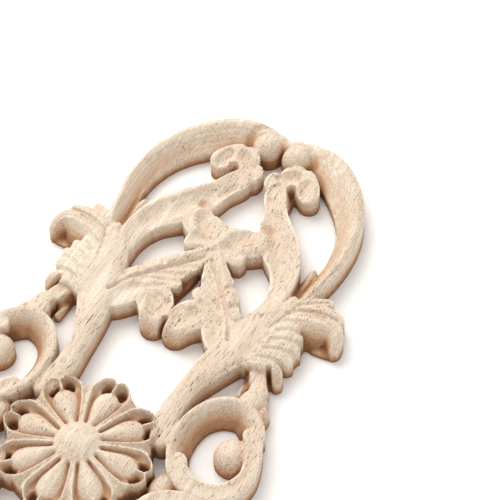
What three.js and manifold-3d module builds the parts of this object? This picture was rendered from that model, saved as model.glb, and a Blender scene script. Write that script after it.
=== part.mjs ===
// Carved wood applique: a pierced scroll and acanthus onlay with a rosette at its middle.
// It is one piece of wood with a flat back. X runs along it, Y across it and Z up from its back.
// The carving is the same in its four quarters, so only the quarter with X and Y above zero is drawn.
import * as THREE from 'three';
import { mergeVertices } from 'three/addons/utils/BufferGeometryUtils.js';
import Module from 'manifold-3d';

// Driving dimensions, in millimetres.
const length = 341;
const width = 131;
const scrollHeight = 12;
const rosetteRadius = 31;
const rosetteHeight = 11.6;
const buttonRadius = 8.8;
const buttonHeight = 14;
const petalCount = 8;
const petalFloor = 7.6;
const petalRim = 1.7;
const padLength = 16.8;
const padWidth = 9.6;
const padPlace = 16.8;
const notchFloor = 4.2;
const notchSize = 3.6;
const notchPlace = 26.5;
const coreRadius = 25.4;
const coreHeight = 8.4;
const sepalWidth = 5.5;
const sepalLength = 8.8;
const sepalPlace = 26;
const endBallRadius = 6.5;
const endBallHeight = 12.4;
const ringBallLength = 14.2;
const ringBallWidth = 14.6;
const ringBallHeight = 10.2;
const budLength = 10.4;
const budWidth = 13;
const budHeight = 9;
const dropLength = 12;
const dropWidth = 7.6;
const dropHeight = 8.2;

// How finely the faces are cut.
const turnPerStep = Math.PI / 4.9;
const stepsPerPoint = 0.7;
const drawnEnd = 0.8;
const domeSides = 10;
const domeSteps = 2;
const sunkDepth = 3;

// The plan of one quarter is drawn on a sheet of this size, then fitted to the length and width.
const sheetLength = 170.5;
const sheetWidth = 65.5;

// A member follows points of [x, y, half width, height], the height as a share of the scroll height.
// Its section is crowned, ridged like a roof, or scooped so that its left side is the low one.
const members = {
  stem: { section: 'crown', points: [
    [13, 27, 4.4, 0.8], [26, 23.3, 4.6, 0.88], [40, 23.6, 4, 0.96], [52, 26.4, 5.8, 0.96],
    [66, 31, 7.6, 0.95], [82, 35.4, 7.2, 0.93], [97, 40.4, 3.4, 0.86]] },
  endScroll: { section: 'ridge', points: [
    [88, 40.4, 4, 0.86], [103, 43.4, 3.9, 0.94], [117, 45.6, 4.1, 0.97], [130, 44.8, 4.8, 0.98],
    [142, 40.6, 5.8, 0.98], [152.8, 32.6, 6.8, 0.97], [161, 22.2, 7.2, 0.96], [164.2, 12.5, 6.8, 0.92],
    [164.2, 4.6, 6, 0.84], [162.6, -2.4, 3.6, 0.72]] },
  branch: { section: 'ridge', points: [
    [80, 33, 4.4, 0.86], [95, 33.2, 4.6, 0.88], [106, 30, 6, 0.9], [116, 22.6, 7.8, 0.9],
    [125, 15.8, 6.2, 0.89], [132, 12.2, 4.6, 0.88], [139, 9.4, 5.6, 0.87], [146, 9.2, 6, 0.86]] },
  crook: { section: 'crown', points: [
    [144, 8, 6, 0.86], [149.8, 13.2, 7.2, 0.88], [147.2, 18.4, 4.5, 0.88], [141, 20, 4, 0.78]] },
  crookSpur: { section: 'crown', points: [
    [148, 7, 4.2, 0.86], [145, 4.4, 3.4, 0.86], [140, 3.4, 1.6, 0.8]] },
  crossing: { section: 'crown', points: [
    [119, 19, 6, 0.87], [113, 12, 7, 0.86], [109.6, 4, 7.4, 0.84], [109, -3, 7, 0.82]] },
  crossingSpur: { section: 'crown', points: [
    [111, 5, 5, 0.83], [105, 8.6, 4.4, 0.82], [100.4, 12.4, 2.6, 0.76]] },
  tongue: { section: 'ridge', points: [
    [92, 38.6, 3.6, 0.5], [104, 39.4, 2.6, 0.48], [115, 38.8, 1.2, 0.4]] },
  palmette: { section: 'ridge', points: [
    [60, 27, 4.6, 0.88], [68, 21.6, 6.6, 0.88], [76, 17.6, 7.8, 0.87], [84, 12.6, 7.2, 0.85],
    [91, 7.8, 6, 0.82], [97, 4, 4.4, 0.79], [104, 0, 2.4, 0.74]] },
  palmetteFinger: { section: 'crown', points: [
    [76, 15, 5, 0.84], [79.8, 9, 4.4, 0.84], [82.2, 2.8, 2.2, 0.84]] },
  palmetteLobeA: { section: 'ridge', points: [
    [70, 21.6, 4.6, 0.82], [76, 23, 3.8, 0.8], [81, 23.4, 2, 0.74]] },
  palmetteLobeB: { section: 'ridge', points: [
    [78, 17, 4.4, 0.8], [83.6, 18.4, 3.4, 0.78], [88, 17.8, 2, 0.72]] },
  palmetteLobeC: { section: 'ridge', points: [
    [86, 10.6, 4, 0.78], [90.6, 12.6, 3, 0.76], [94.4, 12, 1.6, 0.7]] },
  heel: { section: 'crown', points: [
    [57.4, 5, 4.4, 0.1], [59.6, 5, 4.9, 0.42], [64.4, 5.2, 5.6, 0.83], [69, 7, 7, 0.84],
    [75, 13, 6.4, 0.86]] },
  arm: { section: 'crown', points: [[42, 46.6, 4.6, 0.84], [50, 47.2, 4, 0.8], [57, 46.8, 3.6, 0.62]] },
  armLeafA: { section: 'ridge', points: [
    [38, 50.4, 3.6, 0.84], [43, 52.6, 3.2, 0.74], [48, 53.2, 2, 0.6]] },
  armLeafB: { section: 'ridge', points: [
    [44, 48, 3.6, 0.84], [48.6, 49.8, 3, 0.76], [52.4, 50.4, 1.8, 0.62]] },
  knob: { section: 'crown', points: [
    [53.6, 44.8, 3, 0.54], [57.6, 44.6, 4, 0.66], [64, 43.5, 5.4, 0.7]] },
  hollowRib: { section: 'ridge', points: [
    [67, 41.4, 3.4, 0.6], [55, 40.9, 1.9, 0.46], [48.2, 40.6, 1.4, 0.36]] },
  leafFan: { section: 'fluted', points: [
    [79, 34, 8, 0.94], [75.4, 40, 12, 0.94], [73, 46.8, 12, 0.92], [71.6, 53.2, 9.6, 0.84]] },
  leafLobe: { section: 'crown', points: [
    [66, 46, 3.2, 0.9], [62.6, 50.4, 2.8, 0.82], [58.4, 51.6, 1.8, 0.4]] },
  leafCurl: { section: 'curl', points: [
    [84, 39, 6.6, 0.93], [87, 46, 7.6, 0.96], [88.6, 54.2, 6.6, 0.99], [88.4, 60.2, 5, 0.96],
    [85.2, 62.8, 3.6, 0.82], [81.4, 63.8, 2.2, 0.52]] },
  leafCrest: { section: 'ridge', points: [
    [86, 38, 4.4, 0.9], [92, 47.6, 4.8, 0.9], [95, 56, 3.4, 0.88], [94, 63, 2.2, 0.82]] },
  leafTip: { section: 'ridge', points: [[90, 40, 4, 0.88], [97, 47.8, 3.4, 0.85], [102, 54, 1.8, 0.74]] },
  ringFar: { section: 'scoop', points: [
    [9, 36.6, 3.8, 0.9], [19, 32.5, 4.2, 0.93], [31, 33.6, 4, 0.94], [38.4, 39, 4.4, 0.94],
    [40.6, 47, 4.6, 0.94], [35.6, 54, 4.6, 0.93], [30, 57.6, 3.8, 0.9]] },
  ringNear: { section: 'crown', points: [
    [36, 53.4, 3.8, 0.9], [26, 59.6, 3.2, 0.93], [15, 62, 3.2, 0.94], [5.6, 57.2, 4.2, 0.92],
    [3.2, 48, 4, 0.9], [7, 38.6, 4, 0.89], [14, 34, 4, 0.88]] },
};

// The low wood between the two rings at the middle, which lies on the line that both halves share.
const ringWeb = { section: 'crown', points: [[0, 36, 5, 0.5], [0, 48, 4.6, 0.34], [0, 58, 4.6, 0.4]] };

// Places of the round knobs, on the same sheet.
const endBallPlace = [160.8, 6.9];
const ringBallPlace = [24, 52];
const budPlace = [0, 36];
const dropPlace = [0, 58.6];

// How high each section stands, from its left edge to its right edge.
const sections = {
  crown: [0.84, 0.98, 0.98, 0.84],
  ridge: [0.74, 1, 0.74],
  scoop: [0.3, 0.7, 1, 0.88],
  curl: [0.24, 0.86, 1, 0.82],
  fluted: [0.8, 1, 0.8, 1, 0.8, 1, 0.8],
};

const scaleX = length / 2 / sheetLength;
const scaleY = width / 2 / sheetWidth;
const scaleWidth = Math.sqrt(scaleX * scaleY);
const wasm = await Module();
wasm.setup();

// Turns a closed geometry into a solid that can be joined and cut.
function toSolid(geometry) {
  geometry.deleteAttribute('normal');
  geometry.deleteAttribute('uv');
  const merged = mergeVertices(geometry, 1e-5);
  const triVerts = new Uint32Array(merged.index.array);
  const vertProperties = new Float32Array(merged.attributes.position.array);
  return new wasm.Manifold(new wasm.Mesh({ numProp: 3, vertProperties, triVerts }));
}

// Turns a joined solid back into a geometry.
function toGeometry(solid) {
  const mesh = solid.getMesh();
  const geometry = new THREE.BufferGeometry();
  geometry.setAttribute('position', new THREE.BufferAttribute(mesh.vertProperties, 3));
  geometry.setIndex(new THREE.BufferAttribute(mesh.triVerts, 1));
  return geometry;
}

// Copies a geometry into another quarter, with its faces still outward.
function mirrored(geometry, signX, signY) {
  const copy = geometry.clone().scale(signX, signY, 1);
  if (signX * signY < 0) {
    const index = copy.index.array;
    for (let i = 0; i < index.length; i += 3) {
      [index[i], index[i + 2]] = [index[i + 2], index[i]];
    }
  }
  return copy;
}

// How many straight steps a curve is followed in: fewer than its points, or more where it turns sharply.
function stepsOf(route, points) {
  const fewest = Math.ceil((points.length - 1) * stepsPerPoint);
  const samples = points.length * 4;
  let turn = 0;
  for (let i = 0; i < samples; i += 1) {
    turn += route.getTangent(i / samples).angleTo(route.getTangent((i + 1) / samples));
  }
  return Math.max(fewest, Math.round(turn / turnPerStep));
}

// How far back the low edges of a member's end are drawn, so that each ridge of it has a tip.
function pullOf(points, strips, end) {
  const [near, next] = end === 0 ? points : points.slice(-2).reverse();
  const reach = Math.hypot(near[0] - next[0], near[1] - next[1]);
  const ridgeHalf = (near[2] * 2) / strips;
  return (drawnEnd * ridgeHalf) / reach / (points.length - 1);
}

// A carved member: a box bent along a curve. Its top is cut to the section, and it starts below the back,
// where the whole carving is cut off flat at the end.
function member({ section, points }) {
  const shares = sections[section];
  const lowShare = Math.min(...shares);
  const route = new THREE.CatmullRomCurve3(
    points.map(([x, y]) => new THREE.Vector3(x * scaleX, y * scaleY, 0)));
  const girth = new THREE.CatmullRomCurve3(
    points.map(([, , half, share]) => new THREE.Vector3(half * scaleWidth, share * scrollHeight, 0)));
  const steps = stepsOf(route, points);
  const geometry = new THREE.BoxGeometry(1, 1, 1, steps, shares.length - 1, 1);
  const position = geometry.attributes.position;
  for (let i = 0; i < position.count; i += 1) {
    const station = position.getX(i) + 0.5;
    const share = shares[Math.round((0.5 - position.getY(i)) * (shares.length - 1))];
    const atEnd = station === 0 || station === 1;
    const pull = atEnd ? (pullOf(points, shares.length - 1, station) * (1 - share)) / (1 - lowShare) : 0;
    const along = station + (station === 0 ? pull : -pull);
    const centre = route.getPoint(along);
    const tangent = route.getTangent(along);
    const size = girth.getPoint(along);
    const offset = position.getY(i) * 2 * size.x;
    const z = position.getZ(i) > 0 ? size.y * share : -sunkDepth;
    position.setXYZ(i, centre.x - tangent.y * offset, centre.y + tangent.x * offset, z);
  }
  return geometry;
}

// A round or oval knob with straight sides up to its shoulder and a dome above.
function dome(place, sizeX, sizeY, height) {
  const shoulder = 0.62;
  const profile = [new THREE.Vector2(0, -sunkDepth), new THREE.Vector2(0.5, -sunkDepth)];
  for (let i = 0; i < domeSteps; i += 1) {
    const turn = (i / domeSteps) * (Math.PI / 2);
    const level = shoulder + (1 - shoulder) * Math.sin(turn);
    profile.push(new THREE.Vector2(0.5 * Math.cos(turn), height * level));
  }
  profile.push(new THREE.Vector2(0, height));
  const geometry = new THREE.LatheGeometry(profile, domeSides);
  geometry.rotateX(Math.PI / 2);
  geometry.scale(sizeX, sizeY, 1);
  return geometry.translate(place[0] * scaleX, place[1] * scaleY, 0);
}

// Outline of a petal from the middle of the rosette to its two-lobed tip, drawn smaller by an inset.
function petalOutline(inset) {
  const root = buttonRadius * 0.7;
  const tip = rosetteRadius - inset;
  const half = rosetteRadius * Math.tan(Math.PI / petalCount) * 0.72 - inset;
  const rootHalf = half * 0.26;
  const lobePlace = half * 0.36;
  const cleft = tip - 0.9;
  const waist = rosetteRadius * 0.74;
  const bend = waist * 0.78;
  const shape = new THREE.Shape();
  shape.moveTo(root, -rootHalf);
  shape.quadraticCurveTo(bend, -half, waist, -half);
  shape.quadraticCurveTo(tip, -half, tip, -lobePlace);
  shape.quadraticCurveTo(cleft, 0, tip, lobePlace);
  shape.quadraticCurveTo(tip, half, waist, half);
  shape.quadraticCurveTo(bend, half, root, rootHalf);
  shape.closePath();
  return shape;
}

function extruded(shape, bottom, top) {
  const settings = { depth: top - bottom, bevelEnabled: false, curveSegments: 2 };
  return new THREE.ExtrudeGeometry(shape, settings).translate(0, 0, bottom);
}

// An upright post with its axis along Z, from below the back up to its top.
function post(radiusTop, radiusBelow, top, sides) {
  const height = top + sunkDepth;
  const geometry = new THREE.CylinderGeometry(radiusTop, radiusBelow, height, sides);
  geometry.rotateX(Math.PI / 2);
  return geometry.translate(0, 0, top - height / 2);
}

// An oval pad, laid along X, that swells from the floor of a petal.
function petalPad() {
  const padSides = 6;
  const padSteps = 4;
  const sunkInFloor = 0.3;
  const geometry = new THREE.SphereGeometry(0.5, padSides, padSteps);
  geometry.scale(padLength, padWidth, (rosetteHeight - petalFloor) * 2);
  return geometry.translate(padPlace, 0, petalFloor - sunkInFloor);
}

// The rosette: dished petals round a button, with small sepals between their tips.
function rosette() {
  const sepalSides = 6;
  const notchSides = 4;
  const notchSpread = notchSize * 0.72;
  const step = (Math.PI * 2) / petalCount;
  const turned = (geometry, angle) => toSolid(geometry.rotateZ(angle));
  let solid = toSolid(post(coreRadius, coreRadius, coreHeight, petalCount * 2));
  for (let i = 0; i < petalCount; i += 1) {
    const sepal = post(0.3, 0.5, coreHeight, sepalSides);
    sepal.scale(sepalLength, sepalWidth, 1);
    sepal.translate(sepalPlace, 0, 0);
    solid = solid.add(turned(sepal, (i + 0.5) * step));
  }
  for (let i = 0; i < petalCount; i += 1) {
    const angle = i * step;
    solid = solid.add(turned(extruded(petalOutline(0), -sunkDepth, rosetteHeight), angle));
    solid = solid.subtract(turned(extruded(petalOutline(petalRim), petalFloor, rosetteHeight + 1), angle));
    solid = solid.add(turned(petalPad(), angle));
    [-1, 1].forEach((side) => {
      const notch = post(notchSize / 2, notchSize / 2, rosetteHeight, notchSides);
      notch.translate(notchPlace, side * notchSpread, notchFloor + sunkDepth);
      solid = solid.subtract(turned(notch, angle));
    });
  }
  return solid.add(toSolid(dome([0, 0], buttonRadius * 2, buttonRadius * 2, buttonHeight)));
}

// The whole carving, joined into one solid.
function applique() {
  const quarter = [];
  Object.values(members).forEach((shape) => quarter.push(member(shape)));
  quarter.push(dome(endBallPlace, endBallRadius * 2, endBallRadius * 2, endBallHeight));
  quarter.push(dome(ringBallPlace, ringBallLength, ringBallWidth, ringBallHeight));
  const half = [member(ringWeb)];
  half.push(dome(budPlace, budWidth, budLength, budHeight));
  half.push(dome(dropPlace, dropWidth, dropLength, dropHeight));
  const solids = [];
  [1, -1].forEach((signY) => {
    half.forEach((geometry) => solids.push(toSolid(mirrored(geometry, 1, signY))));
    [1, -1].forEach((signX) => {
      quarter.forEach((geometry) => solids.push(toSolid(mirrored(geometry, signX, signY))));
    });
  });
  let whole = rosette();
  solids.forEach((solid) => {
    whole = whole.add(solid);
  });
  const below = new THREE.BoxGeometry(length * 2, width * 2, sunkDepth * 2);
  below.translate(0, 0, -sunkDepth);
  return whole.subtract(toSolid(below));
}

const wood = new THREE.MeshStandardMaterial({ color: 0xe3c9ab, roughness: 0.8, metalness: 0 });
const carving = new THREE.Mesh(toGeometry(applique()), wood);
carving.name = 'carved_applique';

const group = new THREE.Group();
group.add(carving);
export default group;
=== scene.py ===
import math

import bpy
import numpy as np
from mathutils import Matrix, Vector


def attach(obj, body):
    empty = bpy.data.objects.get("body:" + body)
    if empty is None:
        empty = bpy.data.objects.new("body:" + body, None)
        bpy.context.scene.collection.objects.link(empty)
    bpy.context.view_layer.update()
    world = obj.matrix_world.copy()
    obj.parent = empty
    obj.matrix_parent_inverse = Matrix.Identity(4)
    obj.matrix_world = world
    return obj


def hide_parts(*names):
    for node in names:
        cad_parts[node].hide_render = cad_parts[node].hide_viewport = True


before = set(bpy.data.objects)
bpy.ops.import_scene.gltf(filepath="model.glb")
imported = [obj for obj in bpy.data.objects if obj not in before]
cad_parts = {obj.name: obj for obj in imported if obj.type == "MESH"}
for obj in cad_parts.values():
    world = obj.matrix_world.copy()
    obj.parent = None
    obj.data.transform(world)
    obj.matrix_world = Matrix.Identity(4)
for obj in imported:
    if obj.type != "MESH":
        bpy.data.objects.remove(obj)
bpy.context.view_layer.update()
bpy.ops.object.select_all(action="DESELECT")

metresPerMm = 0.001

# The carving is drawn in millimetres on one quarter, X along it, Y across it and Z up from its back.
# The other three quarters mirror it, as the carver's template does.
carving = {
    "scrollHeight": 12.0,
    "sunkDepth": 1.5,       # how far the members start below the back, before it is cut flat
    "stationGap": 0.7,      # spacing of the rows along a member
    "stripGap": 0.45,       # spacing of the rows across a member
    "endHeight": 0.9,       # how much of its height a member has at its very ends
    "endRise": 0.1,         # what it gains over their rounding
    "endHalf": 0.08,        # how much of its width is left there
    "knobWaist": 0.45,      # where a knob is widest, as a share of its height
    "knobSpan": 1.1,        # height of the whole ball that it is the top of, as such a share
    "grain": 0.38,          # size of the smallest form that the knife leaves
    "smoothing": 2,         # passes that take the edge off the knife's steps
    "quarterFaces": 48000,
    "seam": 0.02,           # points this close on the mirrors are joined
    "creaseDegrees": 50,    # edges sharper than this stay crisp
}

# How high a section stands from the left edge of a member to its right edge, as shares of its crest.
sections = {
    "crown": [0.84, 0.95, 0.99, 1.0, 0.99, 0.95, 0.84],
    "ridge": [0.70, 0.82, 0.93, 1.0, 0.93, 0.82, 0.70],
    "scroll": [0.80, 0.95, 1.0, 0.94, 0.83, 0.72, 0.61, 0.51, 0.42],
    "ring": [0.20, 0.34, 0.50, 0.66, 0.80, 0.91, 0.98, 1.0, 0.90],
    "curl": [0.20, 0.40, 0.60, 0.78, 0.91, 1.0, 0.93, 0.99, 0.90, 0.94, 0.80],
    "flat": [0.93, 1.0, 0.96, 0.95, 0.96, 1.0, 0.93],
    "flute": [0.86, 0.96, 0.99, 1.0, 0.99, 0.96, 0.86],
    "spine": [0.86, 0.94, 1.0, 0.93, 0.88, 0.88, 0.91, 0.92, 0.90],
    "bluff": [0.98, 1.0, 0.95, 0.90, 0.87, 0.86, 0.80],
}

# Each member follows points of [x, y, half width, height], its height as a share of the scroll height.
members = {
    "stem": ("crown", [
        [13, 27, 4.4, 0.80], [26, 23.3, 4.6, 0.88], [40, 23.6, 4.0, 0.96], [52, 26.4, 5.8, 0.96],
        [66, 31, 7.6, 0.95], [82, 35.4, 7.2, 0.93], [97, 40.4, 3.4, 0.86]]),
    "endScroll": ("scroll", [
        [88, 40.4, 4.0, 0.88], [103, 43.4, 3.9, 0.95], [117, 45.6, 4.1, 0.98], [130, 44.8, 4.8, 1.0],
        [142, 40.6, 5.8, 1.0], [152.8, 32.6, 6.8, 0.99], [161, 22.2, 7.2, 0.97], [164, 12.5, 6.2, 0.93],
        [164, 4.6, 5.2, 0.84], [162.6, -2.4, 3.6, 0.72]]),
    "branch": ("bluff", [
        [80, 33, 4.4, 0.86], [95, 33.2, 4.6, 0.88], [106, 30, 6.0, 0.90], [116, 22.6, 7.8, 0.90],
        [125, 15.8, 6.2, 0.89], [132, 12.2, 4.6, 0.88], [139, 9.4, 5.6, 0.87], [146, 9.2, 6.0, 0.86]]),
    "crookCrown": ("flat", [
        [144, 8, 6.0, 0.86], [149.6, 13.2, 7.0, 0.88], [147.6, 18.4, 5.0, 0.88], [143.6, 20.0, 4.8, 0.84],
        [140.6, 20.0, 3.8, 0.76]]),
    "crookSpur": ("flat", [[148, 7, 4.2, 0.86], [145, 4.4, 3.4, 0.86], [140, 3.4, 1.6, 0.80]]),
    "crossing": ("crown", [
        [119, 19, 6.0, 0.87], [113, 12, 7.0, 0.86], [109.6, 4, 7.4, 0.84], [109, -3, 7.0, 0.82]]),
    "crossingSpur": ("crown", [[111, 5, 5.0, 0.83], [105, 8.6, 4.4, 0.82], [100.4, 12.4, 2.6, 0.76]]),
    "tongue": ("ridge", [[92, 38.6, 3.6, 0.56], [104, 39.4, 2.6, 0.54], [115, 38.8, 1.4, 0.50]]),
    "palmette": ("spine", [
        [60, 27, 4.6, 0.88], [68, 21.6, 6.6, 0.88], [76, 17.6, 7.8, 0.87], [84, 12.6, 7.2, 0.85],
        [91, 7.8, 6.0, 0.82], [97, 4.0, 4.4, 0.79], [104, 0, 2.4, 0.74]]),
    "palmetteFinger": ("flat", [[76, 15, 5.0, 0.84], [79.8, 9, 4.4, 0.84], [82.2, 2.8, 2.2, 0.84]]),
    "holeFlank": ("ridge", [
        [72.5, 6.6, 2.8, 0.34], [79, 7.0, 3.8, 0.36], [86, 4.8, 3.2, 0.36], [93, 2.8, 2.2, 0.38]]),
    "palmetteLobeA": ("flat", [[70, 21.6, 4.6, 0.82], [76, 23.0, 3.8, 0.80], [81, 23.4, 2.0, 0.74]]),
    "palmetteLobeB": ("flat", [[78, 17, 4.4, 0.80], [83.6, 18.4, 3.4, 0.78], [88, 17.8, 2.0, 0.72]]),
    "palmetteLobeC": ("flat", [[86, 10.6, 4.0, 0.78], [90.6, 12.6, 3.0, 0.76], [94.4, 12.0, 1.6, 0.70]]),
    "heel": ("flat", [
        [57.6, 5.0, 4.4, 0.14], [59.6, 5.0, 4.9, 0.60], [63.4, 5.2, 5.6, 0.84], [69.4, 7.4, 7.2, 0.85],
        [75.4, 13.2, 6.8, 0.86]]),
    "arm": ("crown", [[42, 46.6, 4.6, 0.84], [50, 47.2, 4.0, 0.80], [57, 46.8, 3.6, 0.62]]),
    "armLeafA": ("ridge", [[38, 50.4, 3.6, 0.84], [43, 52.6, 3.2, 0.74], [48, 53.2, 2.0, 0.60]]),
    "armLeafB": ("ridge", [[44, 48, 3.6, 0.84], [48.6, 49.8, 3.0, 0.76], [52.4, 50.4, 1.8, 0.62]]),
    "knob": ("flat", [[53.6, 44.8, 3.0, 0.54], [57.6, 44.6, 4.0, 0.66], [64, 43.5, 5.4, 0.70]]),
    "hollowRib": ("ridge", [[67, 41.4, 3.4, 0.60], [55, 40.9, 1.9, 0.46], [48.2, 40.6, 1.4, 0.36]]),
    "leafBed": ("flute", [
        [79, 34, 8.0, 0.94], [75.4, 40, 13.0, 0.95], [73.4, 46.4, 12.4, 0.93], [73, 49.8, 11.2, 0.86],
        [72.6, 52.4, 9.6, 0.78]]),
    "fluteA": ("flute", [
        [61.4, 33.6, 3.4, 0.88], [63.4, 43, 3.1, 0.93], [62.6, 49.2, 2.6, 0.84], [58.4, 51.6, 1.8, 0.40]]),
    "fluteB": ("flute", [
        [64.6, 32.6, 3.4, 0.88], [67.6, 43, 3.1, 0.94], [69.2, 50.2, 2.6, 0.86], [68.8, 53.0, 1.9, 0.80]]),
    "fluteC": ("flute", [
        [68.6, 33.4, 3.4, 0.88], [72.6, 43, 3.1, 0.94], [74.8, 50.2, 2.6, 0.86], [74.8, 53.2, 1.9, 0.80]]),
    "fluteD": ("flute", [
        [73.4, 34.4, 3.4, 0.88], [77.8, 42.8, 3.1, 0.94], [80.0, 49.0, 2.4, 0.86], [80.0, 51.8, 1.8, 0.80]]),
    "leafCurl": ("curl", [
        [84, 39, 6.6, 0.93], [87, 46, 7.6, 0.96], [88.6, 54.0, 6.6, 0.99], [88.2, 59.8, 4.8, 0.96],
        [85.2, 62.2, 3.4, 0.82], [81.4, 63.2, 2.0, 0.52]]),
    "curlWall": ("ridge", [
        [82.8, 52.6, 2.0, 0.22], [83.6, 56.8, 2.6, 0.25], [83.6, 60.6, 2.4, 0.26], [82.6, 63.0, 1.6, 0.28]]),
    "leafCrest": ("flute", [
        [86, 38, 4.4, 0.90], [92, 47.6, 4.6, 0.91], [95, 56, 3.4, 0.89], [94, 62.0, 2.2, 0.82]]),
    "leafTip": ("flute", [[90, 40, 4.0, 0.88], [97, 47.8, 3.4, 0.85], [102, 54, 1.8, 0.74]]),
    "ringFar": ("ring", [
        [9, 36.6, 3.8, 0.90], [19, 32.5, 4.2, 0.93], [31, 33.6, 4.0, 0.94], [38.4, 39, 4.4, 0.94],
        [40.6, 47, 4.6, 0.94], [35.6, 54, 4.6, 0.93], [30, 57.6, 3.8, 0.90]]),
    "ringNear": ("flat", [
        [36, 53.4, 3.8, 0.90], [26, 59.6, 3.2, 0.93], [15, 62.0, 3.2, 0.94], [5.6, 57.2, 4.2, 0.92],
        [3.2, 48, 4.0, 0.90], [7, 38.6, 4.0, 0.89], [14, 34, 4.0, 0.88]]),
    "ringWeb": ("crown", [[0, 36, 5.0, 0.50], [0, 48, 4.6, 0.34], [0, 58, 4.6, 0.40]]),
}

# Strokes that the gouge cuts into the top of each part: the route, its half width, and the share of the
# height that it takes away.
strokes = {
    "palmette": [
        ([[66, 26.6], [74.7, 22.4], [86.3, 12.4], [98.4, 1.6]], 0.9, 0.13),
        ([[72, 19.4], [77.4, 8.8]], 1.8, 0.10),
        ([[82.0, 13.4], [86.4, 4]], 1.8, 0.11),
        ([[88.6, 8.4], [92, 1.6]], 1.5, 0.08),
        ([[77.4, 18], [80.6, 9.4]], 1.0, 0.06),
        ([[69.4, 20.6], [73.6, 10.6]], 0.7, 0.05),
        ([[80.4, 20.2], [84.6, 23.0]], 1.5, 0.12),
        ([[88.0, 14.2], [91.8, 16.6]], 1.4, 0.12),
        ([[76, 25], [79, 27.4]], 1.2, 0.08),
    ],
    "heelSeam": [
        ([[55, 0], [64.6, 0]], 1.2, 0.7),
    ],
    "heel": [
        ([[71.2, 8.2], [65.4, 5.6]], 3.4, 0.15),
        ([[71.2, 3.2], [66.4, 2.4]], 2.2, 0.14),
    ],
    "crossing": [
        ([[114.4, 10.4], [110.4, 6.4]], 4.8, 0.26),
        ([[106.2, 3.6], [104.6, 9.2]], 3.0, 0.20),
        ([[121.6, 15], [119.4, 9.6]], 2.8, 0.20),
        ([[109.6, 9.4], [112.4, 12.6]], 0.7, 0.10),
    ],
    "crook": [
        ([[143.6, 13.2], [139.4, 15.6], [135, 17.8]], 2.1, 0.6),
        ([[128, 10.6], [135, 8]], 1.6, 0.10),
        ([[148, 18.0], [144.6, 18.8]], 3.2, 0.15),
        ([[150.4, 12.4], [147.0, 6.6]], 2.8, 0.16),
    ],
    "branch": [
        ([[104, 30.4], [112, 26], [119, 19.6], [126, 14.6]], 5.0, 0.15),
    ],
    "leaf": [
        ([[64.4, 40.4], [65.8, 44.0], [66.2, 51.6]], 1.2, 0.08),
        ([[68.8, 41.0], [70.6, 44.6], [72.2, 52.4]], 1.2, 0.08),
        ([[73.6, 41.4], [75.6, 44.6], [77.6, 52.0]], 1.2, 0.08),
        ([[78.6, 41.8], [80.6, 44.6], [81.8, 49.2]], 1.2, 0.08),
        ([[61.4, 38.0], [63.2, 44.0], [62.8, 48.6]], 0.6, 0.03),
        ([[65.2, 38.0], [67.8, 44.0], [69.0, 50.4]], 0.6, 0.03),
        ([[69.6, 38.4], [73.0, 44.0], [74.8, 50.6]], 0.6, 0.03),
        ([[74.6, 39.0], [78.2, 43.6], [80.0, 49.0]], 0.6, 0.03),
    ],
    "arm": [
        ([[55.4, 51], [58.4, 48.8], [62, 46.6]], 1.2, 0.72),
        ([[56.4, 39.8], [51, 42.4]], 1.8, 0.34),
    ],
    "leafCurl": [
        ([[90.4, 43], [93.6, 51], [93.8, 59.6]], 0.8, 0.12),
        ([[87.6, 40.4], [91.2, 47.6], [92.2, 55]], 0.7, 0.10),
        ([[93, 42.4], [97.4, 48.6], [100.6, 53]], 0.7, 0.08),
    ],
    "stem": [
        ([[78, 38.2], [90, 42.2], [103, 46.4], [117, 48.4]], 0.7, 0.07),
        ([[92, 37.4], [105, 40.6], [118, 42.6]], 0.7, 0.08),
    ],
    "endBall": [
        ([[155.6, 13.6], [160.6, 15.6], [165.5, 14.2], [168.3, 10.6], [168.6, 6.6]], 1.6, 0.12),
    ],
}

# Round and oval knobs, as [x, y, length, width, height].
knobs = {
    "endBall": [160.8, 6.9, 13.2, 13.0, 12.4],
    "ringBall": [24, 52, 14.2, 14.6, 10.2],
    "bud": [0, 36, 13.0, 10.4, 9.0],
    "drop": [0, 58.6, 7.6, 12.0, 8.2],
}

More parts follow.
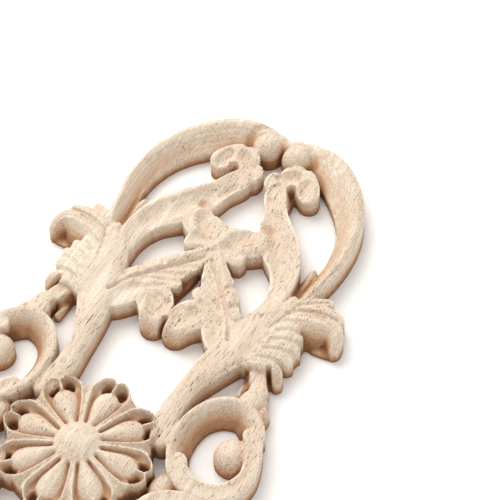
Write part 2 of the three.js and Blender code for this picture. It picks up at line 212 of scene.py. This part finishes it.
rosette = {
    "radius": 31.0,
    "petals": 8,
    "petalHalf": 7.9,       # half width of a petal where it is widest
    "waist": 22.0,          # distance from the middle where it is widest
    "petalShare": 0.91,     # how much of its sector a petal fills
    "softness": 0.8,        # how gently its sides turn at the waist
    "tipPower": 2.4,        # roundness of its tip, two for an ellipse and more for a squarer one
    "cleftDepth": 1.4,      # the dent between the two lobes of the tip
    "cleftHalf": 1.7,
    "edgeSlope": 0.3,       # width of the step from the rim down to the ground
    "rimHeight": 11.5,
    "rimWidth": 1.25,
    "rimSlope": 0.7,        # width of the slope from the rim down into the petal
    "rimFall": 0.5,         # how much lower the rim is at its outer edge
    "valleySlope": 1.6,     # how steeply the rims fall to the valley between two petals
    "grooveHeight": 7.6,
    "grooveWidth": 0.25,
    "padHeight": 11.4,
    "padSwell": 15.0,       # distance from the middle to the fullest part of a pad
    "padEnd": 26.2,
    "padLeast": 0.8,        # half width of a pad where it starts at the button
    "padTaper": 2.2,        # fullness of its end
    "padCrown": 0.7,        # fullness of its top, one for a parabola and less for a flatter one
    "tongueHeight": 10.8,   # the tongue joins the pad to the cleft
    "tongueHalf": 0.9,
    "tongueRoot": 1.5,      # how far it starts inside the end of the pad
    "notchHeight": 3.6,     # the two notches lie beside the tongue
    "notchPlace": 26.2,
    "notchSpread": 3.0,
    "notchFloor": 1.265,    # half width of its floor
    "notchSlope": 1.15,     # width of the slope round it
    "notchStretch": 1.25,   # how much longer than wide a notch is
    "notchShare": 0.3,      # how far up the side of a pad a notch may cut
    "buttonRadius": 8.9,
    "buttonHeight": 13.95,
    "buttonEdge": 10.6,
    "buttonCrown": 0.85,
    "coreRadius": 27.6,     # the wood between the petals reaches this far out
    "coreHeight": 6.4,
    "coreSlope": 0.5,
    "ribHeight": 1.3,       # the low rib that is left between two petals
    "ribHalf": 0.8,
    "ribStart": 15.0,
    "gap": 0.32,            # spacing of the points that it is drawn with
    "overlap": 3.0,         # how far it is drawn past the mirrors, which cut it
    "skirt": 1.0,           # how far it is drawn past its radius
    "skirtStep": 2.0,
    "skirtDepth": 2.5,      # how far its sides go below the back
}


def mixTable(values, places):
    # a smooth run through evenly spaced values
    steps = np.clip(places, 0.0, 1.0) * (len(values) - 1)
    low = np.minimum(steps.astype(int), len(values) - 2)
    part = steps - low
    ease = part * part * (3.0 - 2.0 * part)
    table = np.asarray(values)
    return table[low] * (1.0 - ease) + table[low + 1] * ease


def smoothStep(share):
    share = np.clip(share, 0, 1)
    return share * share * (3 - 2 * share)


def followCurve(points, gap):
    # a centripetal Catmull-Rom curve through the points, in rows about one gap apart
    points = np.asarray(points, float)
    longer = np.vstack([2 * points[0] - points[1], points, 2 * points[-1] - points[-2]])
    rows = []
    for i in range(len(points) - 1):
        p0, p1, p2, p3 = longer[i:i + 4]
        spans = ((p0, p1), (p1, p2), (p2, p3))
        d0, d1, d2 = [max(np.linalg.norm(b[:2] - a[:2]), 1e-4) ** 0.5 for a, b in spans]
        leave = ((p1 - p0) / d0 - (p2 - p0) / (d0 + d1) + (p2 - p1) / d1) * d1
        arrive = ((p2 - p1) / d1 - (p3 - p1) / (d1 + d2) + (p3 - p2) / d2) * d1
        steps = max(3, int(round(np.linalg.norm(p2[:2] - p1[:2]) / gap)))
        u = np.linspace(0.0, 1.0, steps, endpoint=False)[:, None]
        rows.append((2 * u**3 - 3 * u**2 + 1) * p1 + (u**3 - 2 * u**2 + u) * leave
                    + (3 * u**2 - 2 * u**3) * p2 + (u**3 - u**2) * arrive)
    rows.append(points[-1:])
    return np.vstack(rows)


def readPlaces(piece):
    places = np.empty(len(piece.data.vertices) * 3)
    piece.data.vertices.foreach_get("co", places)
    return places.reshape(-1, 3)


def writePlaces(piece, places):
    piece.data.vertices.foreach_set("co", places.ravel())
    piece.data.update()


def drawDown(piece, step, depth):
    # gives a sheet its sides, a step straight down and then flattened at a depth below the back
    bpy.ops.object.mode_set(mode="EDIT")
    bpy.ops.mesh.select_all(action="SELECT")
    bpy.ops.mesh.extrude_region_move(TRANSFORM_OT_translate={"value": (0, 0, -step)})
    bpy.ops.transform.resize(value=(1, 1, 0), center_override=(0, 0, -depth))
    bpy.ops.mesh.select_all(action="SELECT")
    bpy.ops.mesh.normals_make_consistent(inside=False)
    bpy.ops.object.mode_set(mode="OBJECT")


def makeGrid(name, rowsAlong, rowsAcross):
    # a sheet, with the place of each point along it from 0 to 1 and across it from -1 to 1
    bpy.ops.mesh.primitive_grid_add(x_subdivisions=rowsAlong - 1, y_subdivisions=rowsAcross - 1, size=2)
    piece = bpy.context.object
    piece.name = name
    places = readPlaces(piece)
    return piece, (places[:, 0] + 1) / 2, places[:, 1]


def makeMember(name, section, route):
    rows = followCurve(route, carving["stationGap"])
    widest = max(point[2] for point in route)
    strips = max(8, int(round(2 * widest / carving["stripGap"])))
    piece, along, across = makeGrid(name, len(rows), strips)
    row = np.rint(along * (len(rows) - 1)).astype(int)
    ahead = np.gradient(rows[:, :2], axis=0)
    ahead /= np.linalg.norm(ahead, axis=1)[:, None]
    travelled = np.concatenate([[0], np.cumsum(np.linalg.norm(np.diff(rows[:, :2], axis=0), axis=1))])
    # both ends are rounded off over half a width
    fromEnd = np.minimum(travelled / rows[0, 2], (travelled[-1] - travelled) / rows[-1, 2])
    rounding = np.sqrt(1.0 - (1.0 - np.clip(fromEnd, 0.0, 1.0)) ** 2)
    half = rows[row, 2] * np.maximum(rounding[row], carving["endHalf"])
    crest = rows[row, 3] * carving["scrollHeight"]
    crest *= carving["endHeight"] + carving["endRise"] * rounding[row]
    side = np.stack([-ahead[row, 1], ahead[row, 0]], axis=1)
    places = np.empty((len(row), 3))
    places[:, :2] = rows[row, :2] + side * (across * half)[:, None]
    places[:, 2] = crest * mixTable(sections[section], (1 - across) / 2)
    writePlaces(piece, places)
    drawDown(piece, carving["sunkDepth"], carving["sunkDepth"])
    return piece


def makeKnob(name, place):
    x, y, length, width, height = place
    waist = height * carving["knobWaist"]
    bpy.ops.mesh.primitive_uv_sphere_add(segments=48, ring_count=24, radius=0.5)
    piece = bpy.context.object
    piece.name = name
    places = readPlaces(piece) * [length, width, height * carving["knobSpan"]]
    places += [x, y, waist]
    # below its waist it goes straight down, as wide as there, but for the pole that closes it
    below = places[:, 2] < waist
    places[below, 2] = -carving["sunkDepth"]
    reach = np.hypot((places[:, 0] - x) / length, (places[:, 1] - y) / width)
    isPole = reach <= 0.01
    grow = np.where(below & ~isPole, 0.5 / np.maximum(reach, 0.01), 1.0)
    places[:, 0] = x + (places[:, 0] - x) * grow
    places[:, 1] = y + (places[:, 1] - y) * grow
    writePlaces(piece, places)
    return piece


def petalHeights(x, y):
    # heights of the rosette over points of its plan
    size = rosette
    sunk = carving["sunkDepth"]
    step = 2 * math.pi / size["petals"]
    radius = np.hypot(x, y)
    local = (np.arctan2(y, x) + step / 2) % step - step / 2
    out, side = radius * np.cos(local), np.abs(radius * np.sin(local))
    # a drop that opens to the waist and closes on a tip of two lobes
    drop = out * math.tan(step / 2) * size["petalShare"]
    soft, power = size["softness"], size["tipPower"]
    half = -soft * np.log(np.exp(-drop / soft) + np.exp(-size["petalHalf"] / soft))
    past = np.clip((out - size["waist"]) / (size["radius"] - size["waist"]), 0, 2)
    rounded = (past**power + (side / size["petalHalf"]) ** power) ** (1 / power)
    inside = np.where(past > 0, (1 - rounded) * size["petalHalf"], half - side)
    cleft = size["cleftDepth"] * np.exp(-((side / size["cleftHalf"]) ** 2))
    inside = np.minimum(inside, size["radius"] - out - cleft)
    # the pad, its tongue and the two notches beside it
    padHalf = np.maximum(half - size["rimWidth"] - size["grooveWidth"], size["padLeast"])
    beyond = np.clip((out - size["padSwell"]) / (size["padEnd"] - size["padSwell"]), 0, 1)
    swell = np.clip(1 - (side / padHalf) ** 2 - beyond ** size["padTaper"], 0, 1) ** size["padCrown"]
    body = size["grooveHeight"] + (size["padHeight"] - size["grooveHeight"]) * swell
    tongue = size["tongueHeight"] * np.exp(-((side / size["tongueHalf"]) ** 4))
    body = np.maximum(body, tongue * (out > size["padEnd"] - size["tongueRoot"]))
    notchGap = np.hypot((out - size["notchPlace"]) / size["notchStretch"], side - size["notchSpread"])
    kept = smoothStep((notchGap - size["notchFloor"]) / size["notchSlope"])
    kept = np.maximum(kept, smoothStep(swell / size["notchShare"]))
    body = size["notchHeight"] + (body - size["notchHeight"]) * kept
    # the rim, which falls away outside to the valley beside the next petal
    onRim = smoothStep((size["rimWidth"] - inside) / size["rimSlope"])
    crest = size["rimWidth"] / 2
    rim = size["rimHeight"] - size["rimFall"] * (np.clip(crest - inside, 0, crest) / crest) ** 2
    height = body * (1 - onRim) + rim * onRim
    edgeHeight = size["rimHeight"] - size["rimFall"]
    valley = edgeHeight + np.minimum(inside, 0) * size["valleySlope"]
    rib = np.exp(-((radius * np.sin(step / 2 - np.abs(local)) / size["ribHalf"]) ** 2))
    ground = np.maximum(valley, size["coreHeight"] + size["ribHeight"] * rib * (out > size["ribStart"]))
    # past the core everything ends below the back
    inCore = smoothStep((size["coreRadius"] - radius) / size["coreSlope"])
    ground = -sunk + (ground + sunk) * inCore
    edge = -sunk + (edgeHeight + sunk) * inCore
    height = edge + (height - edge) * np.clip(inside / size["edgeSlope"], 0, 1)
    height = np.where(inside > 0, height, ground)
    # the button in the middle
    rise = np.clip(1 - (radius / size["buttonRadius"]) ** 2, 0, None) ** size["buttonCrown"]
    dome = size["buttonEdge"] + (size["buttonHeight"] - size["buttonEdge"]) * rise
    return np.where(radius < size["buttonRadius"], np.maximum(height, dome), height)


def makeRosette():
    span = rosette["overlap"] + rosette["radius"] + rosette["skirt"]
    rows = int(span / rosette["gap"])
    piece, along, across = makeGrid("rosette", rows, rows)
    places = np.empty((len(along), 3))
    places[:, 0] = -rosette["overlap"] + along * span
    places[:, 1] = -rosette["overlap"] + (across + 1) / 2 * span
    places[:, 2] = petalHeights(places[:, 0], places[:, 1])
    writePlaces(piece, places)
    drawDown(piece, rosette["skirtStep"], rosette["skirtDepth"])
    return piece


def strokeDepths(x, y):
    # what stays of the height once the gouge has passed
    left = np.ones_like(x)
    for route, half, share in (stroke for part in strokes.values() for stroke in part):
        away = np.full_like(x, np.inf)
        for (ax, ay), (bx, by) in zip(route, route[1:]):
            dx, dy = bx - ax, by - ay
            t = np.clip(((x - ax) * dx + (y - ay) * dy) / (dx * dx + dy * dy), 0, 1)
            away = np.minimum(away, np.hypot(x - ax - t * dx, y - ay - t * dy))
        left *= 1 - share * np.clip(1 - (away / half) ** 2, 0, 1)
    return left


def cutStrokes(whole):
    places = readPlaces(whole)
    above = places[:, 2] > 0
    places[above, 2] *= strokeDepths(places[above, 0], places[above, 1])
    writePlaces(whole, places)


# A map of how high the top stands over the plan of the quarter, and how the hollows are read from it, for
# the shade painted into them and the highlight painted onto crisp edges.
heightMap = {
    "gap": 0.5,
    "margin": 16,           # cells beyond the quarter, past the mirrors too
    "reach": 3.4,           # how far a hollow looks for the crest above it
    "crestSpread": 1.0,     # softness of that crest
    "firstDrop": 0.9,       # the drop below the crest at which a hollow starts
    "fullDrop": 5.5,        # the drop past that at which it is full
    "dropShare": 0.68,
    "spread": 3.0,          # softness of the height around a hollow
    "fullDip": 4.0,         # the depth below that height at which it is full
    "dipShare": 0.55,
    "edgeSpread": 0.9,      # softness of the height beside an edge
    "firstRise": 0.2,       # how far an edge stands above that before it shows
    "fullRise": 2.6,
    "riseShare": 0.5,
}


def mapHeights(quarter):
    margin = heightMap["margin"]
    places = readPlaces(quarter)
    places = places[(places[:, :2] >= 0).all(axis=1)]
    cells = (places[:, :2] / heightMap["gap"]).astype(int)
    sheet = np.zeros(cells.max(axis=0) + margin)
    np.maximum.at(sheet, (cells[:, 0], cells[:, 1]), places[:, 2])
    return np.pad(sheet, ((margin, 0), (margin, 0)), "symmetric")


def blurred(sheet, spread):
    # a soft average over a height sheet, first along one axis and then along the other
    reach = int(3 * spread)
    weights = np.exp(-0.5 * (np.arange(-reach, reach + 1) / spread) ** 2)
    weights /= weights.sum()
    for axis in (0, 1):
        sheet = np.apply_along_axis(np.convolve, axis, sheet, weights, "same")
    return sheet


def highest(sheet, reach):
    # the highest place within reach of each cell
    best = sheet
    for dx in range(-reach, reach + 1):
        for dy in range(-reach, reach + 1):
            if dx * dx + dy * dy <= reach * reach:
                best = np.maximum(best, np.roll(sheet, (dx, dy), axis=(0, 1)))
    return best


def markPaintedShading(whole, sheet):
    # stores how far each point lies below what stands around it, which the wood's colour uses as painted
    # shade in the hollows
    size = heightMap
    gap = size["gap"]
    places = np.abs(readPlaces(whole)) / metresPerMm
    cells = (places[:, :2] / gap).astype(int) + size["margin"]
    columns = (cells[:, 0], cells[:, 1])
    crest = blurred(highest(sheet, int(size["reach"] / gap)), size["crestSpread"] / gap)
    drop = (crest[columns] - places[:, 2] - size["firstDrop"]) / size["fullDrop"]
    dip = (blurred(sheet, size["spread"] / gap)[columns] - places[:, 2]) / size["fullDip"]
    # crisp edges, which stand above what is close to them, get values below nought, which the wood's colour
    # uses as a painted highlight
    near = blurred(sheet, size["edgeSpread"] / gap)[columns]
    rise = (places[:, 2] - near - size["firstRise"]) / size["fullRise"]
    depth = np.clip(drop, 0, 1) * size["dropShare"] + np.clip(dip, 0, 1) * size["dipShare"]
    depth -= np.clip(rise, 0, 1) * size["riseShare"]
    hollow = whole.data.attributes.new("hollow", "FLOAT", "POINT")
    hollow.data.foreach_set("value", np.clip(depth, -1, 1).astype(np.float32))


def applyModifier(piece, kind, **settings):
    modifier = piece.modifiers.new(kind.title(), kind)
    for key, value in settings.items():
        setattr(modifier, key, value)
    bpy.ops.object.modifier_apply(modifier=modifier.name)


def joinPieces(pieces, name):
    bpy.ops.object.select_all(action="DESELECT")
    for piece in pieces:
        piece.select_set(True)
    bpy.context.view_layer.objects.active = pieces[0]
    bpy.ops.object.join()
    whole = bpy.context.object
    whole.name = name
    return whole


# The block below the back that planes it flat, wider than the quarter all round.
bench = {
    "middle": (80.0, 30.0),
    "size": (260.0, 140.0),
    "depth": 7.0,
}


def cutBack(whole):
    depth = bench["depth"]
    bpy.ops.mesh.primitive_cube_add(size=1, location=(*bench["middle"], -depth / 2),
                                    scale=(*bench["size"], depth))
    block = bpy.context.object
    bpy.ops.object.select_all(action="DESELECT")
    whole.select_set(True)
    bpy.context.view_layer.objects.active = whole
    applyModifier(whole, "BOOLEAN", operation="DIFFERENCE", object=block, solver="EXACT")
    bpy.data.objects.remove(block)


def mirrorQuarter(whole):
    bpy.ops.object.mode_set(mode="EDIT")
    for normal in ((1, 0, 0), (0, 1, 0)):
        bpy.ops.mesh.select_all(action="SELECT")
        bpy.ops.mesh.bisect(plane_co=(0, 0, 0), plane_no=normal, clear_inner=True)
    bpy.ops.object.mode_set(mode="OBJECT")
    applyModifier(whole, "MIRROR", use_axis=(True, True, False), use_mirror_merge=True,
                  merge_threshold=carving["seam"])


def makeCarving():
    pieces = [makeMember(name, section, route) for name, (section, route) in members.items()]
    pieces += [makeKnob(name, place) for name, place in knobs.items()]
    pieces.append(makeRosette())
    print("members drawn", len(pieces))
    whole = joinPieces(pieces, "carved_relief")
    applyModifier(whole, "REMESH", mode="VOXEL", voxel_size=carving["grain"], use_smooth_shade=True)
    print("remeshed", len(whole.data.vertices))
    cutStrokes(whole)
    applyModifier(whole, "SMOOTH", factor=0.5, iterations=carving["smoothing"])
    heights = mapHeights(whole)
    share = carving["quarterFaces"] / (2 * len(whole.data.polygons))
    applyModifier(whole, "DECIMATE", ratio=min(1.0, share))
    cutBack(whole)
    mirrorQuarter(whole)
    bpy.ops.transform.resize(value=(metresPerMm,) * 3, center_override=(0, 0, 0))
    bpy.ops.object.transform_apply(location=True, rotation=True, scale=True)
    bpy.ops.object.shade_smooth_by_angle(angle=math.radians(carving["creaseDegrees"]))
    markPaintedShading(whole, heights)
    print("carving", len(whole.data.vertices), "points", len(whole.data.polygons), "faces")
    return whole


def linearColor(hexValue):
    # sRGB hex to the linear values that a shader takes
    parts = [int(hexValue[i:i + 2], 16) / 255 for i in (1, 3, 5)]
    return [c / 12.92 if c <= 0.04045 else ((c + 0.055) / 1.055) ** 2.4 for c in parts] + [1.0]


def addNode(tree, kind, settings=None, values=None, links=None, stops=()):
    # adds one node with its settings, its socket values, its incoming links and its two colour stops
    node = tree.nodes.new(kind)
    for key, value in (settings or {}).items():
        setattr(node, key, value)
    for key, value in (values or {}).items():
        node.inputs[key].default_value = value
    for key, source in (links or {}).items():
        tree.links.new(source, node.inputs[key])
    for i, (place, color) in enumerate(stops):
        node.color_ramp.elements[i].position = place
        node.color_ramp.elements[i].color = color
    return node


# Raw machine-carved rubberwood: matte, cream to pinkish, with short dark pores along the grain, with shade
# painted into its hollows and highlight painted onto its crisp edges.
rubberwood = {
    "colors": {
        "heart": "#CBB69C",     # the cream body of the wood
        "pale": "#E1D5C4",      # paler growth
        "pink": "#CFB8A0",      # the pinkish streaks of a fresh cut
        "edge": "#EBDDC8",      # painted highlight, a paler cream on crisp edges
        "tan": "#C3956B",       # painted shade, a warm brown on walls and shallow hollows
        "stippleAndShadeBrown": "#7A4924",      # dark brown, the random stipple of the cutter's fuzz and painted shade in the hollows
        "pore": "#573822",
    },
    # the size of each pattern along the grain and across it, in millimetres, and its detail
    "patterns": {
        "grain": (45.0, 1.1, 3.0),
        "patch": (44.0, 22.0, 2.0),
        "pores": (7.0, 0.42, 1.0),      # a little wider than real pores, so that they show
        "stipple": (0.7, 0.49, 2.0),    # the fuzz that the cutter leaves
    },
    "patternRoughness": 0.6,
    "growth": (0.36, 0.64),     # where the grain is all heart and where it is all pale
    # where the pores start and are full, and how many show from the barest patch to the fullest
    "poreMasks": [("pores", 0.635, 0.0, 0.68, 1.0), ("patch", 0.42, 0.1, 0.62, 1.0)],
    # each layer over the body: its pattern, where it starts and is full, its share and its colour
    "layers": [
        ("patch", 0.38, 0.66, 0.7, "pink"),
        ("stipple", 0.52, 0.72, 0.45, "stippleAndShadeBrown"),
        # painted shade, tan on walls and shallow hollows
        ("hollow", 0.10, 0.52, 0.9, "tan"),
        # painted shade, dark brown in the deepest hollows
        ("hollow", 0.38, 0.95, 0.9, "stippleAndShadeBrown"),
        # painted highlight on crisp edges
        ("edge", 0.08, 0.40, 0.75, "edge"),
        ("poreShare", 0.0, 1.0, 1.0, "pore"),
    ],
    "stippleLift": 0.8,
    "bumpStrength": 0.4,
    "bumpMm": 0.2,
    "roughness": 0.72,
}


def makeRubberwood():
    wood = bpy.data.materials.new("rawRubberwood")
    wood.use_nodes = True
    tree = wood.node_tree
    tree.nodes.clear()
    place = addNode(tree, "ShaderNodeTexCoord").outputs["Object"]
    sources = {}
    for name, (lengthMm, widthMm, detail) in rubberwood["patterns"].items():
        scale = [1 / metresPerMm / size for size in (lengthMm, widthMm, widthMm)]
        spread = addNode(tree, "ShaderNodeMapping", values={"Scale": scale}, links={"Vector": place})
        values = {"Scale": 1.0, "Detail": detail, "Roughness": rubberwood["patternRoughness"]}
        noise = addNode(tree, "ShaderNodeTexNoise", values=values, links={"Vector": spread.outputs[0]})
        sources[name] = noise.outputs["Fac"]
    # the hollow values paint shade; below nought they turn into edges, which get a painted highlight
    hollow = addNode(tree, "ShaderNodeAttribute", {"attribute_name": "hollow"}).outputs["Fac"]
    edge = addNode(tree, "ShaderNodeMath", {"operation": "MULTIPLY"}, {1: -1.0}, {0: hollow}).outputs[0]
    masks = []
    for pattern, start, least, full, most in rubberwood["poreMasks"]:
        stops = [(start, (least, least, least, 1)), (full, (most, most, most, 1))]
        masks.append(addNode(tree, "ShaderNodeValToRGB", links={"Fac": sources[pattern]}, stops=stops))
    poreShare = addNode(tree, "ShaderNodeMath", {"operation": "MULTIPLY"},
                        links={i: mask.outputs["Color"] for i, mask in enumerate(masks)}).outputs[0]
    sources.update(hollow=hollow, edge=edge, poreShare=poreShare)

    colors = {name: linearColor(value) for name, value in rubberwood["colors"].items()}
    stops = list(zip(rubberwood["growth"], (colors["heart"], colors["pale"])))
    body = addNode(tree, "ShaderNodeValToRGB", links={"Fac": sources["grain"]}, stops=stops).outputs["Color"]
    for pattern, start, full, share, color in rubberwood["layers"]:
        stops = [(start, (0, 0, 0, 1)), (full, (share, share, share, 1))]
        mask = addNode(tree, "ShaderNodeValToRGB", links={"Fac": sources[pattern]}, stops=stops)
        # the colour sockets of a mix node are its seventh and eighth
        mix = addNode(tree, "ShaderNodeMix", {"data_type": "RGBA"}, {7: colors[color]},
                      {0: mask.outputs["Color"], 6: body})
        body = mix.outputs[2]

    # the grain and the fuzz stand up a little and the pores lie open
    lift = addNode(tree, "ShaderNodeMath", {"operation": "SUBTRACT"},
                   links={0: sources["grain"], 1: poreShare})
    relief = addNode(tree, "ShaderNodeMath", {"operation": "MULTIPLY_ADD"}, {1: rubberwood["stippleLift"]},
                     {0: sources["stipple"], 2: lift.outputs[0]})
    values = {"Strength": rubberwood["bumpStrength"], "Distance": rubberwood["bumpMm"] * metresPerMm}
    bump = addNode(tree, "ShaderNodeBump", values=values, links={"Height": relief.outputs[0]})
    shader = addNode(tree, "ShaderNodeBsdfPrincipled", values={"Roughness": rubberwood["roughness"]},
                     links={"Base Color": body, "Normal": bump.outputs["Normal"]})
    addNode(tree, "ShaderNodeOutputMaterial", links={"Surface": shader.outputs[0]})
    return wood


# The studio is measured in metres.
studio = {
    "floorSize": 6.0,
    "floorColor": "#F7F6F4",
    "floorRoughness": 0.9,
    "skyStrength": 0.88,
    "keyPower": 16.5,
    "keySize": 1.2,
    "keyPlace": (0.55, 0.75, 1.0),
}


def makeStudio():
    bpy.ops.mesh.primitive_plane_add(size=studio["floorSize"])
    floor = bpy.context.object
    floor.name = "studioFloor"
    paper = bpy.data.materials.new("paleFloor")
    paper.use_nodes = True
    surface = paper.node_tree.nodes["Principled BSDF"].inputs
    surface["Base Color"].default_value = linearColor(studio["floorColor"])
    surface["Roughness"].default_value = studio["floorRoughness"]
    floor.data.materials.append(paper)
    bpy.context.scene.view_settings.view_transform = "Standard"
    world = bpy.data.worlds.new("studioSky")
    bpy.context.scene.world = world
    world.use_nodes = True
    sky = world.node_tree.nodes["Background"].inputs
    sky["Color"].default_value = (1, 1, 1, 1)
    sky["Strength"].default_value = studio["skyStrength"]
    bpy.ops.object.light_add(type="AREA", location=studio["keyPlace"])
    key = bpy.context.object
    key.name = "studioKey"
    key.data.energy = studio["keyPower"]
    key.data.size = studio["keySize"]
    key.rotation_euler = (-Vector(studio["keyPlace"])).to_track_quat("-Z", "Y").to_euler()
    print("studio set")


# The camera stands where the photograph was taken from, in millimetres of the carving's own frame.
camera = {
    "place": (-306.0, -255.5, 627.1),
    "forward": (0.53007, 0.30980, -0.78934),
    "right": (0.47889, -0.87758, -0.02284),
    "focalPixels": 1978.3,
    "framePixels": 500.0,
    "sensorMm": 36.0,
    "clipStartMm": 10.0,
}


def makeCamera():
    lens = bpy.data.cameras.new("photoCamera")
    lens.sensor_width = camera["sensorMm"]
    lens.lens = camera["focalPixels"] / camera["framePixels"] * camera["sensorMm"]
    lens.clip_start = camera["clipStartMm"] * metresPerMm
    eye = bpy.data.objects.new("photoCamera", lens)
    bpy.context.scene.collection.objects.link(eye)
    forward, right = Vector(camera["forward"]).normalized(), Vector(camera["right"]).normalized()
    turn = Matrix((right, right.cross(forward), -forward)).transposed()
    eye.matrix_world = Matrix.Translation(Vector(camera["place"]) * metresPerMm) @ turn.to_4x4()
    bpy.context.scene.camera = eye


makeCamera()
makeStudio()
relief = makeCarving()
relief.data.materials.clear()
relief.data.materials.append(makeRubberwood())
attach(relief, "root")
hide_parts("carved_applique")
print("carving dressed")

bpy.context.view_layer.update()
